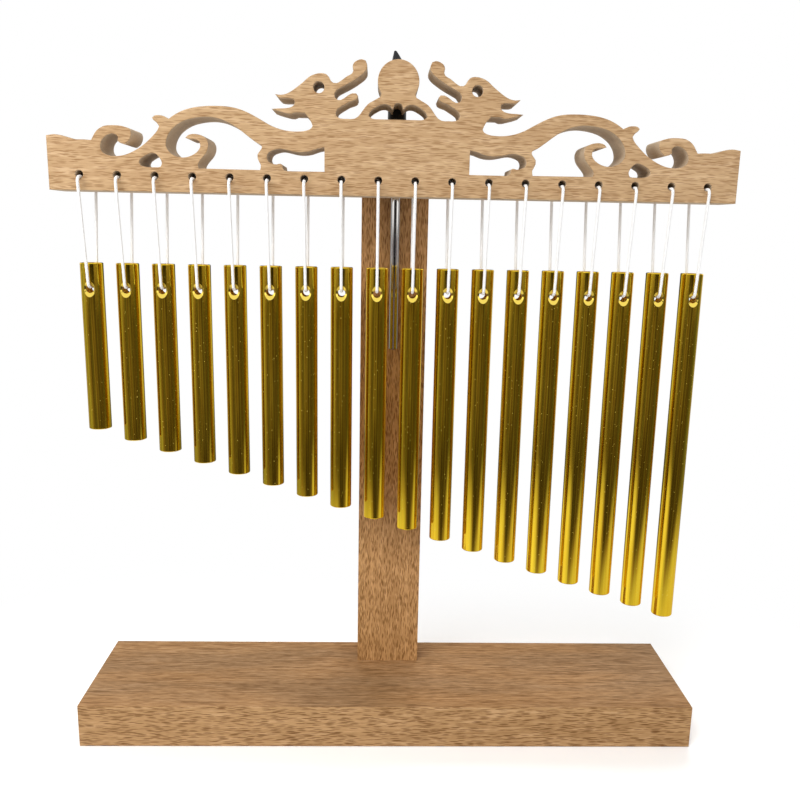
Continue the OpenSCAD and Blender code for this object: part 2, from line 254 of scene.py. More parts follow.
STREAK_SIZE = (0.06, 0.0006)
STREAK_LEVELS = (0.5, 1.05)
CLOUD_SCALE = (60, 60, 60)
CLOUD_SHARE = 0.5
GLOSS_SPREAD = (0.8, 1.25)
SPECK_SCALE = (640, 640, 420)
SPECK_LEVELS = (0.12, 0.05)
SPECK_TONE = rgb(0.95, 0.75, 0.20)
BORE_TONE = rgb(0.94, 0.68, 0.15)
BORE_DULLNESS = 0.45
BORE_METAL_LOSS = 0.3


def metal(name, light, dark, edge, roughness, streak_depth, along, specks=0.0, cut=None):
    """Drawn metal, with fine streaks along one axis in colour, gloss and relief.

    edge is its tint at grazing angles, and specks is how strong its tiny bright dots are. cut is the colour
    of drilled faces, on a tube whose bore is dull.
    """
    material = bpy.data.materials.new(name)
    t = Tree(material)
    place = t.place()
    streaks = t.noise(t.scaled(place, grain_scale(along, *STREAK_SIZE)), 3.0, 0.6)
    clouds = t.noise(t.scaled(place, CLOUD_SCALE), 3.0)
    tone = t.math("ADD", streaks, t.math("MULTIPLY", clouds, CLOUD_SHARE))
    colour = t.mix(t.step(tone, *STREAK_LEVELS), light, dark)
    metallic = 1.0
    if specks:
        dust = t.add("ShaderNodeTexVoronoi", {
            "Vector": t.scaled(place, SPECK_SCALE), "Scale": 1.0,
        }, feature="F1").outputs["Distance"]
        speck = t.fade(dust, SPECK_LEVELS, specks)
        colour = t.mix(speck, colour, SPECK_TONE)
        metallic = t.math("SUBTRACT", 1.0, speck)
    gloss = t.step(streaks, 0.25, 0.75, *(roughness * share for share in GLOSS_SPREAD))
    if cut:
        drilled = t.add("ShaderNodeAttribute", attribute_name="drilled").outputs["Fac"]
        bore = t.add("ShaderNodeAttribute", attribute_name="bore").outputs["Fac"]
        colour = t.mix(drilled, colour, cut)
        colour = t.mix(bore, colour, BORE_TONE)
        gloss = t.math("ADD", gloss, t.math("MULTIPLY", bore, BORE_DULLNESS))
        metallic = t.math("SUBTRACT", metallic, t.math("MULTIPLY", bore, BORE_METAL_LOSS))
    bump = t.add("ShaderNodeBump", {"Height": streaks, "Strength": streak_depth, "Distance": 0.1 * MM})
    shader = t.add("ShaderNodeBsdfPrincipled", {
        "Base Color": colour, "Metallic": metallic, "Specular Tint": edge,
        "Roughness": gloss, "Normal": bump.outputs[0],
    })
    t.add("ShaderNodeOutputMaterial", {0: shader.outputs[0]})
    return material


GRIP_GRAIN_SCALE = (3500, 3500, 3500)
GRIP_WEAR_SCALE = (300, 300, 120)


def plastic(name, colour, worn):
    """Moulded plastic with a fine grain and a little wear."""
    material = bpy.data.materials.new(name)
    t = Tree(material)
    place = t.place()
    grain = t.noise(t.scaled(place, GRIP_GRAIN_SCALE), 2.0)
    rubbed = t.noise(t.scaled(place, GRIP_WEAR_SCALE), 3.0)
    bump = t.add("ShaderNodeBump", {"Height": grain, "Strength": 0.2, "Distance": 0.05 * MM})
    shader = t.add("ShaderNodeBsdfPrincipled", {
        "Base Color": t.mix(t.step(rubbed, 0.45, 0.75), colour, worn),
        "Roughness": t.step(rubbed, 0.3, 0.7, 0.34, 0.5), "Specular IOR Level": 0.3,
        "Normal": bump.outputs[0],
    })
    t.add("ShaderNodeOutputMaterial", {0: shader.outputs[0]})
    return material


FIBRE_SCALE = (6000, 6000, 2500)
# The colour in the gaps between strands is painted shade
CORD_GAP_SHADE = rgb(0.52, 0.51, 0.49)
CORD_WHITE = rgb(0.97, 0.97, 0.965)
CORD_FIBRE = rgb(0.70, 0.69, 0.68)
CORD_FIBRE_LEVELS = (0.35, 0.7)
CORD_FIBRE_DEPTH = 0.15


def braid(name):
    """White braided cord, whose colour darkens towards the gaps between its strands: painted shade in the
    crevices.
    """
    material = bpy.data.materials.new(name)
    t = Tree(material)
    place = t.place()
    height = t.add("ShaderNodeAttribute", attribute_name="strand").outputs["Fac"]
    fibres = t.noise(t.scaled(place, FIBRE_SCALE), 2.0)
    # Darker towards the gaps between the strands: painted shade of the crevices
    colour = t.mix(t.step(height, 0.1, 0.75), CORD_GAP_SHADE, CORD_WHITE)
    colour = t.mix(t.fade(fibres, CORD_FIBRE_LEVELS, CORD_FIBRE_DEPTH), colour, CORD_FIBRE)
    bump = t.add("ShaderNodeBump", {"Height": fibres, "Strength": 0.3, "Distance": 0.06 * MM})
    shader = t.add("ShaderNodeBsdfPrincipled", {
        "Base Color": colour, "Roughness": 0.75, "Sheen Weight": 0.15, "Normal": bump.outputs[0],
    })
    t.add("ShaderNodeOutputMaterial", {0: shader.outputs[0]})
    return material


ALONG_X, ALONG_Y, ALONG_Z = 0, 1, 2
BEECH_PALE = beech(
    "beech_pale", rgb(0.522, 0.342, 0.181), rgb(0.470, 0.296, 0.151), rgb(0.200, 0.086, 0.020),
    ALONG_X, (5.6 * MM, 0.43 * MM, 0.60), line_length=12 * MM, wall=0.6,
)
# The base's top gets a darker tone: painted shade of the top, and partly its other cut through the grain
BEECH_BASE = beech(
    "beech_base", rgb(0.482, 0.281, 0.123), rgb(0.398, 0.222, 0.090), rgb(0.13, 0.046, 0.005),
    ALONG_X, (6.0 * MM, 0.47 * MM, 0.85), line_length=14 * MM, top_shade_and_grain=rgb(0.68, 0.68, 0.73),
)
BEECH_POST = beech(
    "beech_post", rgb(0.520, 0.280, 0.107), rgb(0.430, 0.225, 0.083), rgb(0.13, 0.046, 0.005),
    ALONG_Z, (4.0 * MM, 0.40 * MM, 0.85), line_length=8 * MM,
)
GOLD = metal(
    "gold", rgb(0.945, 0.69, 0.044), rgb(0.835, 0.535, 0.028), edge=rgb(0.96, 0.85, 0.70),
    roughness=0.11, streak_depth=0.40, along=ALONG_Z, specks=0.5, cut=rgb(0.94, 0.70, 0.12),
)
STEEL = metal(
    "steel", rgb(0.70, 0.705, 0.715), rgb(0.60, 0.605, 0.615), edge=rgb(0.72, 0.72, 0.72),
    roughness=0.04, streak_depth=0.02, along=ALONG_Z,
)
ZINC = metal(
    "zinc", rgb(0.62, 0.63, 0.65), rgb(0.48, 0.49, 0.51), edge=rgb(0.85, 0.85, 0.85),
    roughness=0.3, streak_depth=0.3, along=ALONG_Y,
)
BLACK = plastic("black_grip", rgb(0.010, 0.010, 0.012), rgb(0.024, 0.024, 0.026))
CORD = braid("white_cord")


# Pieces

def linked(name, mesh, material):
    mesh.materials.clear()
    mesh.materials.append(material)
    made = bpy.data.objects.new(name, mesh)
    bpy.context.scene.collection.objects.link(made)
    return made


def evaluated_mesh(thing):
    """The final mesh of an object with its modifiers. The object is removed."""
    graph = bpy.context.evaluated_depsgraph_get()
    graph.update()
    mesh = bpy.data.meshes.new_from_object(thing.evaluated_get(graph))
    bpy.data.objects.remove(thing)
    return mesh


def smooth(mesh, angle):
    """Smooth shading, with edges sharper than the angle, in degrees, kept."""
    mesh.polygons.foreach_set("use_smooth", [True] * len(mesh.polygons))
    mesh.set_sharp_from_angle(angle=math.radians(angle))


EASED_ANGLE = math.radians(40)
WELD_GAP = 0.002 * MM
LARGEST_FACE_FIRST = 100


def ease(thing, width):
    """Rounds the edges of a plain CAD node."""
    weld = thing.modifiers.new("weld", "WELD")
    weld.merge_threshold = WELD_GAP
    bevel = thing.modifiers.new("bevel", "BEVEL")
    bevel.width = width
    bevel.segments = 3
    bevel.limit_method = "ANGLE"
    bevel.angle_limit = EASED_ANGLE
    shade = thing.modifiers.new("shade", "WEIGHTED_NORMAL")
    shade.weight = LARGEST_FACE_FIRST


def dress(name, material, edge=0.0):
    """Gives a CAD node its material, and rounds its edges by that width."""
    thing = nodes[name]
    thing.data.materials.clear()
    thing.data.materials.append(material)
    if edge:
        ease(thing, edge)


dress("base_board", BEECH_BASE, 0.7 * MM)
dress("post", BEECH_POST, 0.6 * MM)
dress("beater_holder", BEECH_PALE, 0.3 * MM)
dress("crossbar_screws", ZINC)
dress("base_screws", ZINC)
dress("beater_rod", STEEL)


# Crossbar: the outlines of the CAD node's front, extruded again with eased edges

BAR_EASE = 0.35 * MM
BAR_SHARP_ANGLE = 32
HOLE_Z = 252.4 * MM
HOLE_MOUTH_R = 2.0 * MM
HOLE_R = 1.6 * MM
# How near counts as on the face, as the same size, and as one point
ON_FACE = 0.01 * MM
ALIKE = 0.1 * MM
MERGED = 0.001 * MM


def face_loops(mesh, level):
    """Closed outlines of a node's flat face at that y, as lists of (x, z). A side that two triangles share
    runs both ways and isn't part of an outline."""
    points = [(round(v.co.x, 7), round(v.co.z, 7)) for v in mesh.vertices]
    on_face = [abs(v.co.y - level) < ON_FACE for v in mesh.vertices]
    steps = set()
    for polygon in mesh.polygons:
        corners = list(polygon.vertices)
        if all(on_face[i] for i in corners):
            for a, b in zip(corners, corners[1:] + corners[:1]):
                steps.add((points[a], points[b]))
    after = {a: b for a, b in steps if (b, a) not in steps}
    loops = []
    while after:
        start, at = after.popitem()
        loop = [start]
        while at != start:
            loop.append(at)
            at = after.pop(at)
        loops.append(loop)
    return loops


def cord_hole(loop):
    """The centre of a cord hole's mouth, or None for another outline."""
    x = sum(p[0] for p in loop) / len(loop)
    z = sum(p[1] for p in loop) / len(loop)
    is_round = all(abs(math.hypot(p[0] - x, p[1] - z) - HOLE_MOUTH_R) < ALIKE for p in loop)
    return (x, z) if is_round and abs(z - HOLE_Z) < ALIKE else None


def make_crossbar():
    outline = bpy.data.curves.new("crossbar_outline", "CURVE")
    outline.dimensions = "2D"
    outline.fill_mode = "BOTH"
    outline.extrude = (BAR_BACK - BAR_FRONT) / 2 - BAR_EASE
    outline.bevel_depth = BAR_EASE
    outline.bevel_resolution = 2
    outline.offset = -BAR_EASE
    for loop in face_loops(nodes["crossbar"].data, BAR_FRONT):
        centre = cord_hole(loop)
        if centre:
            # The outline's bevel rounds the mouth again, so it starts from the narrower hole inside
            share = HOLE_R / HOLE_MOUTH_R
            loop = [
                (centre[0] + (x - centre[0]) * share, centre[1] + (z - centre[1]) * share)
                for x, z in loop
            ]
        spline = outline.splines.new("POLY")
        spline.points.add(len(loop) - 1)
        for point, (x, z) in zip(spline.points, loop):
            point.co = (x, z, 0, 1)
        spline.use_cyclic_u = True
    flat = bpy.data.objects.new("crossbar_outline", outline)
    bpy.context.scene.collection.objects.link(flat)
    mesh = evaluated_mesh(flat)
    mesh.transform(Matrix.Translation((0, ROW_Y, 0)) @ Matrix.Rotation(math.radians(90), 4, "X"))
    work = bmesh.new()
    work.from_mesh(mesh)
    bmesh.ops.remove_doubles(work, verts=work.verts, dist=MERGED)
    bmesh.ops.recalc_face_normals(work, faces=work.faces)
    work.to_mesh(mesh)
    work.free()
    smooth(mesh, BAR_SHARP_ANGLE)
    bar = linked("crossbar_fretted", mesh, BEECH_PALE)
    shade = bar.modifiers.new("shade", "WEIGHTED_NORMAL")
    shade.weight = LARGEST_FACE_FIRST
    shade.keep_sharp = True
    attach(bar, "frame")
    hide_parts("crossbar")


make_crossbar()


# Tubes: the shortest one drilled and countersunk, then drawn out to each length

TUBE_R = 4.8 * MM
TUBE_BORE = 3.6 * MM
TUBE_EASE = 0.3 * MM
EASE_MIDDLE = 0.3
BORE_EASE = 0.1 * MM
# Under the top: two rings of points, above and below the hole, and where the drawn part begins
RING_DEPTHS = (6 * MM, 16 * MM)
DRAWN_BELOW = 20 * MM
TUBE_TOP = 216.2 * MM
CROSS_Z = 205.2 * MM
CROSS_R = 1.7 * MM
SINK_R = 3.4 * MM
SINK_ANGLE = math.radians(60)
TUBE_SIDES = 96
CUTTER_SIDES = 64
CUTTER_OVER = 1 * MM
# How a face of the drilled tube is told apart: on a radius, nearly upright, looking out, close to the hole
ON_RADIUS = 0.01 * MM
UPRIGHT = 0.02
FACES_OUT = 0.5
SINK_REACH = SINK_R + 0.2 * MM


def lathe(profile, sides, capped=False):
    """Mesh of a profile of (radius, z) turned about Z, a closed one or an open one with capped ends."""
    rings = len(profile)
    points = []
    for r, z in profile:
        for side in range(sides):
            angle = 2 * math.pi * side / sides
            points.append((r * math.cos(angle), r * math.sin(angle), z))
    faces = []
    for ring in range(rings - 1 if capped else rings):
        following = (ring + 1) % rings
        for side in range(sides):
            beside = (side + 1) % sides
            faces.append((ring * sides + side, ring * sides + beside,
                          following * sides + beside, following * sides + side))
    if capped:
        faces.append(tuple(reversed(range(sides))))
        faces.append(tuple((rings - 1) * sides + side for side in range(sides)))
    mesh = bpy.data.meshes.new("lathe")
    mesh.from_pydata(points, [], faces)
    mesh.update()
    return mesh


def tube_profile(length):
    """Section of a tube's wall, as (radius, z), up the outside and down the bore."""
    top = TUBE_TOP
    low = top - length
    middle = TUBE_EASE * EASE_MIDDLE
    upper, lower = (top - depth for depth in RING_DEPTHS)
    profile = [(TUBE_R - TUBE_EASE, low), (TUBE_R - middle, low + middle)]
    profile += [(TUBE_R, z) for z in (low + TUBE_EASE, lower, upper, top - TUBE_EASE)]
    profile += [(TUBE_R - middle, top - middle), (TUBE_R - TUBE_EASE, top), (TUBE_BORE + BORE_EASE, top)]
    profile += [(TUBE_BORE, z) for z in (top - BORE_EASE, upper, lower, low + BORE_EASE)]
    profile.append((TUBE_BORE + BORE_EASE, low))
    return profile


def cross_cutter():
    """What is drilled out of a tube, along Y: a hole with a countersink at both ends."""
    sink_depth = (SINK_R - CROSS_R) / math.tan(SINK_ANGLE)
    mouth = SINK_R + CUTTER_OVER * math.tan(SINK_ANGLE)
    end = TUBE_R + CUTTER_OVER
    neck = TUBE_R - sink_depth
    profile = [(mouth, -end), (CROSS_R, -neck), (CROSS_R, neck), (mouth, end)]
    mesh = lathe(profile, CUTTER_SIDES, capped=True)
    mesh.transform(Matrix.Translation((0, 0, CROSS_Z)) @ Matrix.Rotation(math.radians(90), 4, "X"))
    return mesh


def tube_normals(mesh):
    """Gives the turned and countersunk walls their true normals, so that reflections run straight, and
    marks the faces that are drilled or in the bore."""
    normals = []
    drilled = [0.0] * len(mesh.polygons)
    bore = [0.0] * len(mesh.polygons)
    for polygon in mesh.polygons:
        corners = [mesh.vertices[i].co for i in polygon.vertices]
        radii = [math.hypot(c.x, c.y) for c in corners]
        near_hole = all(abs(c.z - CROSS_Z) < SINK_REACH for c in corners)
        flat = polygon.normal
        upright = abs(flat.z) < UPRIGHT
        outside = upright and all(abs(r - TUBE_R) < ON_RADIUS for r in radii)
        inside = upright and all(abs(r - TUBE_BORE) < ON_RADIUS for r in radii)
        for c, r in zip(corners, radii):
            if outside:
                normal = Vector((c.x, c.y, 0))
            elif inside:
                normal = Vector((-c.x, -c.y, 0))
                bore[polygon.index] = 1.0
            elif r > TUBE_BORE and near_hole:
                out = Vector((c.x, 0, c.z - CROSS_Z)).normalized()
                drilled[polygon.index] = 1.0
                if abs(flat.y) > FACES_OUT:
                    side = math.copysign(1, flat.y)
                    normal = Vector((0, side * math.sin(SINK_ANGLE), 0)) - out * math.cos(SINK_ANGLE)
                else:
                    normal = -out
            else:
                normal = flat
            normals.append(normal.normalized())
    mesh.attributes.new("drilled", "FLOAT", "FACE").data.foreach_set("value", drilled)
    mesh.attributes.new("bore", "FLOAT", "FACE").data.foreach_set("value", bore)
    mesh.normals_split_custom_set(normals)


TUBE_LENGTHS = {n: TUBE_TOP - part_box(numbered("tube", n))[0].z for n in TUBES}


def make_tubes():
    shortest = TUBE_LENGTHS[1]
    tube = linked("tube", lathe(tube_profile(shortest), TUBE_SIDES), GOLD)
    cutter = linked("cutter", cross_cutter(), GOLD)
    drill = tube.modifiers.new("drill", "BOOLEAN")
    drill.object = cutter
    drill.operation = "DIFFERENCE"
    drill.solver = "EXACT"
    first = evaluated_mesh(tube)
    bpy.data.objects.remove(cutter)
    for number in TUBES:
        mesh = first.copy()
        drawn = TUBE_LENGTHS[number] - shortest
        for vertex in mesh.vertices:
            if vertex.co.z < TUBE_TOP - DRAWN_BELOW:
                vertex.co.z -= drawn
        mesh.update()
        mesh.polygons.foreach_set("use_smooth", [True] * len(mesh.polygons))
        tube_normals(mesh)
        mesh.transform(Matrix.Translation((tube_x(number), ROW_Y, 0)))
        piece = linked(numbered("gold_tube", number), mesh, GOLD)
        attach(piece, numbered("chime", number))
        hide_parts(numbered("tube", number))
    bpy.data.meshes.remove(first)


make_tubes()


# Beater grip: the CAD's section, with the tip's hook

GRIP_R = 4 * MM
GRIP_H = 30.8 * MM
GRIP_Z = 276.672 * MM
GRIP_SECTION = [
    (0.93, 0), (1, 0.012), (1, 0.30), (0.985, 0.31), (0.985, 0.33), (1, 0.34), (1, 0.50), (0.985, 0.58),
    (0.93, 0.66), (0.84, 0.735), (0.72, 0.80), (0.59, 0.855), (0.46, 0.90), (0.35, 0.935), (0.26, 0.96),
    (0.19, 0.98), (0.12, 0.995), (0.05, 1),
]
GRIP_SIDES = 48
GRIP_SHARP_ANGLE = 50
HOOK = 1.2 * MM
HOOK_FROM = 0.72


def make_grip():
    mesh = lathe([(r * GRIP_R, z * GRIP_H) for r, z in GRIP_SECTION], GRIP_SIDES, capped=True)
    for vertex in mesh.vertices:
        up = max(0, vertex.co.z / GRIP_H - HOOK_FROM) / (1 - HOOK_FROM)
        vertex.co.x -= HOOK * up * up
    mesh.transform(Matrix.Translation((0, BEATER_Y, GRIP_Z)))
    smooth(mesh, GRIP_SHARP_ANGLE)
    grip = linked("beater_grip_moulded", mesh, BLACK)
    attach(grip, "beater")
    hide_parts("beater_grip")


make_grip()


# Cords: each a braided loop through the crossbar's hole and across its tube

CORD_R = 0.65 * MM
BEND_R = 2.2 * MM
RUN_HIGH = 251.55 * MM
RUN_LOW = 206.1 * MM
HIGH_BEND = Vector((9 * MM, RUN_HIGH - BEND_R))
LOW_BEND = Vector((3.4 * MM, RUN_LOW + BEND_R))
KNOT_Z = 252.4 * MM
KNOT_SWELL = 1.15
KNOT_HALF = 1.3 * MM
RING_STEP = 0.2 * MM
RING_SIDES = 20
STRANDS = 4
PLAIT_PITCH = 4.4 * MM
RELIEF = 0.085 * MM
CROSSING_SWELL = 0.45


def loop_route():
    """Points (y, z) and outward directions all along the loop, from the knot round the tube and back."""
    tilt = math.atan((HIGH_BEND.x - LOW_BEND.x) / (HIGH_BEND.y - LOW_BEND.y))
    steps = []

    def run(a, b, out):
        count = max(2, round((b - a).length / RING_STEP))
        for i in range(count):
            steps.append((a.lerp(b, i / count), out))

    def bend(centre, start, turn):
        count = max(4, round(abs(turn) * BEND_R / RING_STEP))
        for i in range(count):
            angle = start + turn * i / count
            out = Vector((math.cos(angle), math.sin(angle)))
            steps.append((centre + BEND_R * out, out))

    quarter_turn = math.pi / 2
    side = Vector((math.cos(-tilt), math.sin(-tilt)))
    run(Vector((0, RUN_HIGH)), Vector((HIGH_BEND.x, RUN_HIGH)), Vector((0, 1)))
    bend(HIGH_BEND, quarter_turn, -quarter_turn - tilt)
    run(HIGH_BEND + BEND_R * side, LOW_BEND + BEND_R * side, side)
    bend(LOW_BEND, -tilt, tilt - quarter_turn)
    run(Vector((LOW_BEND.x, RUN_LOW)), Vector((0, RUN_LOW)), Vector((0, -1)))
    lowest = (Vector((0, RUN_LOW)), Vector((0, -1)))
    mirrored = [(Vector((-p.x, p.y)), Vector((-o.x, o.y))) for p, o in reversed(steps[1:])]
    return steps + [lowest] + mirrored


def strand_height(angle, along, length):
    """Height of a braid's surface, 0 in the gaps and 1 on the strands, which pass over and under."""
    plaits = round(length / PLAIT_PITCH)
    turn = STRANDS * angle / (2 * math.pi)
    rise = STRANDS * plaits * along / length
    one, other = turn + rise, turn - rise
    if (math.floor(one) + math.floor(other)) % 2:
        one, other = other, one
    across = math.sin(math.pi * (one % 1))
    lengthwise = math.sin(math.pi * (other % 1))
    return math.sqrt(max(across, 0)) * (1 - CROSSING_SWELL + CROSSING_SWELL * lengthwise)


def make_cord_mesh():
    route = loop_route()
    count = len(route)
    along = [0.0]
    for (p, _), (q, _) in zip(route, route[1:] + route[:1]):
        along.append(along[-1] + (q - p).length)
    length = along[-1]
    points, heights = [], []
    for (point, out), travelled in zip(route, along):
        from_knot = min(travelled, length - travelled)
        knot = math.exp(-((from_knot / KNOT_HALF) ** 2))
        lift = knot * (KNOT_Z - RUN_HIGH)
        for side in range(RING_SIDES):
            angle = 2 * math.pi * side / RING_SIDES
            height = strand_height(angle, travelled, length)
            r = (CORD_R - RELIEF * (1 - height)) * (1 + KNOT_SWELL * knot)
            at = point + out * r * math.cos(angle)
            points.append((r * math.sin(angle), ROW_Y + at.x, at.y + lift))
            heights.append(height)
    faces = []
    for ring in range(count):
        following = (ring + 1) % count
        for side in range(RING_SIDES):
            beside = (side + 1) % RING_SIDES
            faces.append((ring * RING_SIDES + side, following * RING_SIDES + side,
                          following * RING_SIDES + beside, ring * RING_SIDES + beside))
    mesh = bpy.data.meshes.new("cord")
    mesh.from_pydata(points, [], faces)
    mesh.attributes.new("strand", "FLOAT", "POINT").data.foreach_set("value", heights)
    mesh.polygons.foreach_set("use_smooth", [True] * len(mesh.polygons))
    mesh.update()
    work = bmesh.new()
    work.from_mesh(mesh)
    bmesh.ops.recalc_face_normals(work, faces=work.faces)
    work.to_mesh(mesh)
    work.free()
    return mesh


def make_cords():
    pattern = make_cord_mesh()
    route = [point for point, _ in loop_route()]
    for number in TUBES:
        x = tube_x(number)
        mesh = pattern.copy()
        mesh.transform(Matrix.Translation((x, 0, 0)))
        piece = linked(numbered("braided_cord", number), mesh, CORD)
        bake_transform(piece)
        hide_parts(numbered("cord", number))
    bpy.data.meshes.remove(pattern)


make_cords()


# Studio: a pale floor, a white background, soft lamps, and a dim room that only reflections see

def seen_directly(t):
    """1 for what the camera, a reflection or clear glass sees, and 0 for the light on the object."""
    path = t.add("ShaderNodeLightPath").outputs
    seen = t.math("MAXIMUM", path["Is Camera Ray"], path["Is Glossy Ray"])
    return t.math("MAXIMUM", seen, path["Is Transmission Ray"])


ROUND_SIDES = 96


def ring_points(radius, z):
    turns = [2 * math.pi * side / ROUND_SIDES for side in range(ROUND_SIDES)]
    return [(radius * math.cos(turn), radius * math.sin(turn), z) for turn in turns]


def disc(name, radius, z, material):
    """Flat disc round the origin."""
    mesh = bpy.data.meshes.new(name)
    mesh.from_pydata(ring_points(radius, z), [], [tuple(range(ROUND_SIDES))])
    made = linked(name, mesh, material)
    return made


# The floor lights the object as a pale grey one does. Seen, it keeps the shadow near the stand's foot and
# fades to plain white further out
FLOOR_R = 4
FLOOR_Z = -0.2 * MM
FLOOR_LIT = rgb(0.80, 0.80, 0.80)
FLOOR_SEEN = rgb(1.08, 1.08, 1.08)
FOOT_HALF = (140 * MM, 30 * MM, 0)
SHADOW_FADES = (4 * MM, 130 * MM)
WHITE = rgb(1, 1, 1)
WORLD_LIGHT = 0.41
# Name, place, size and power
LAMPS = [
    ("key", (-0.6, -1.1, 1.5), 1.0, 18.0),
    ("fill", (1.2, -1.3, 0.6), 1.2, 6.5),
    ("near", (-0.36, -0.24, 0.38), 0.2, 0.75),
    ("rear", (0.3, 1.3, 1.4), 1.2, 16),
]
AIM = Vector((0, 0, 0.15))


def make_floor():
    material = bpy.data.materials.new("floor")
    t = Tree(material)
    seen = seen_directly(t)
    beside = t.add("ShaderNodeVectorMath", {0: t.place()}, operation="ABSOLUTE").outputs[0]
    beside = t.add("ShaderNodeVectorMath", {0: beside, 1: FOOT_HALF}, operation="SUBTRACT").outputs[0]
    beside = t.add("ShaderNodeVectorMath", {0: beside, 1: (0, 0, 0)}, operation="MAXIMUM").outputs[0]
    far = t.add("ShaderNodeVectorMath", {0: beside}, operation="LENGTH").outputs["Value"]
    near = t.add("ShaderNodeBsdfDiffuse", {"Color": t.mix(seen, FLOOR_LIT, FLOOR_SEEN)})
    away = t.add("ShaderNodeEmission", {"Color": WHITE, "Strength": 1.0})
    fade = t.math("MULTIPLY", t.step(far, *SHADOW_FADES), seen)
    mixed = t.add("ShaderNodeMixShader", {0: fade, 1: near.outputs[0], 2: away.outputs[0]})
    t.add("ShaderNodeOutputMaterial", {0: mixed.outputs[0]})
    disc("floor", FLOOR_R, FLOOR_Z, material)


def make_world():
    world = bpy.data.worlds.new("studio")
    bpy.context.scene.world = world
    t = Tree(world)
    strength = t.math("ADD", t.math("MULTIPLY", seen_directly(t), 1 - WORLD_LIGHT), WORLD_LIGHT)
    background = t.add("ShaderNodeBackground", {"Color": WHITE, "Strength": strength})
    t.add("ShaderNodeOutputWorld", {0: background.outputs[0]})


def make_lamps():
    for name, place, size, power in LAMPS:
        data = bpy.data.lights.new(name, "AREA")
        data.shape = "DISK"
        data.size = size
        data.energy = power
        lamp = bpy.data.objects.new(name, data)
        bpy.context.scene.collection.objects.link(lamp)
        lamp.location = place
        lamp.rotation_mode = "QUATERNION"
        lamp.rotation_quaternion = (AIM - Vector(place)).to_track_quat("-Z", "Y")
        lamp.visible_glossy = False


def only_reflected(thing):
    """Hides a stage mesh from all but reflections."""
    thing.visible_camera = False
    thing.visible_diffuse = False
    thing.visible_transmission = False
    thing.visible_volume_scatter = False
    thing.visible_shadow = False


def bearing_of(t, place):
    """Bearing in radians, from the front towards the right."""
    parts = t.add("ShaderNodeSeparateXYZ", {0: place}).outputs
    return t.math("ARCTAN2", parts[0], t.math("MULTIPLY", parts[1], -1.0))


def bearing_levels(t, bearing, levels):
    """A level that changes with the bearing. levels are pairs of a bearing in degrees and the level there."""
    ramp = t.add("ShaderNodeValToRGB", {0: t.math("MULTIPLY_ADD", bearing, 0.5 / math.pi, 0.5)})
    stops = ramp.color_ramp.elements
    while len(stops) > 1:
        stops.remove(stops[0])
    for at, level in levels:
        stop = stops.new(0.5 + at / 360)
        stop.color = rgb(level, level, level)
    # The ramp's own last stop, which can't be removed while it is the only one
    stops.remove(stops[-1])
    return ramp.outputs[0]


def glow(name):
    """A new material for a mesh of the room, and its tree."""
    material = bpy.data.materials.new(name)
    return material, Tree(material)


# Where in their noise the two sets of upright bands begin, and how many there are for each radian
TONE_BANDS_FROM = 70.0
LEVEL_BANDS_FROM = 20.0
BANDS_PER_RADIAN = 4.5
ROOM_BAND_LEVELS = (0.36, 0.64)
ROOM_BAND_RANGE = (0.5, 1.6)


def upright_bands(t, bearing, start, low, high):
    """Soft upright bands, as of furniture and hangings, that vary with the bearing."""
    at = t.math("MULTIPLY_ADD", bearing, BANDS_PER_RADIAN, start)
    bands = t.noise(t.add("ShaderNodeCombineXYZ", {0: at}).outputs[0], 2.0)
    return t.step(bands, *ROOM_BAND_LEVELS, low, high)


def uneven(t, bearing, level):
    return t.math("MULTIPLY", level, upright_bands(t, bearing, LEVEL_BANDS_FROM, *ROOM_BAND_RANGE))


FRONT_ENDS = (math.radians(80), math.radians(55))
DIM_OLIVE = rgb(1.0, 0.96, 0.95)
DIM_BROWN = rgb(1.0, 0.68, 0.66)
DIM_ASIDE = rgb(0.97, 1.0, 1.0)
BRIGHT = rgb(1.0, 0.97, 0.93)
BRIGHT_LEVELS = (0.25, 0.55)


def finish_glow(t, level, bearing):
    """Light at that level, nearly white where it is bright or aside. Where it is dim and in front, its tone
    goes from plain to reddish, so that gold looks olive or brown."""
    front = t.step(t.math("ABSOLUTE", bearing), *FRONT_ENDS)
    dim = t.mix(upright_bands(t, bearing, TONE_BANDS_FROM, 0.0, 1.0), DIM_OLIVE, DIM_BROWN)
    dim = t.mix(front, DIM_ASIDE, dim)
    tone = t.mix(t.step(level, *BRIGHT_LEVELS), dim, BRIGHT)
    colour = t.mix(1.0, tone, level, "MULTIPLY")
    shader = t.add("ShaderNodeEmission", {"Color": colour, "Strength": 1.0})
    t.add("ShaderNodeOutputMaterial", {0: shader.outputs[0]})


ROOM_R = 1.4
ROOM_H = 0.95
ROOM_FLOOR_Z = 0.5 * MM
# Bearing in degrees and level, of the far part of the room and of the floor nearer than that
FAR_LEVELS = [
    (-179, 0.16), (-165, 0.22), (-150, 0.40), (-138, 0.54), (-125, 0.52), (-112, 0.40), (-100, 0.24),
    (-88, 0.28), (-75, 0.34), (-67, 0.29), (-60, 0.22), (-52, 0.170), (-45, 0.130), (-36, 0.105),
    (-27, 0.10), (-12, 0.18), (2, 0.19), (12, 0.12), (18, 0.085), (35, 0.085), (48, 0.085), (60, 0.095),
    (72, 0.085), (88, 0.11), (100, 0.18), (112, 0.34), (125, 0.50), (138, 0.54), (150, 0.40),
    (165, 0.22), (179, 0.16),
]
NEAR_LEVELS = [
    (-179, 0.12), (-150, 0.15), (-120, 0.28), (-90, 0.28), (-75, 0.27), (-60, 0.21), (-45, 0.13),
    (-30, 0.085), (-15, 0.065), (0, 0.055), (15, 0.06), (30, 0.07), (50, 0.075), (70, 0.09), (90, 0.13),
    (120, 0.25), (150, 0.15), (179, 0.12),
]
NEAR, FAR = 0.42, 0.80
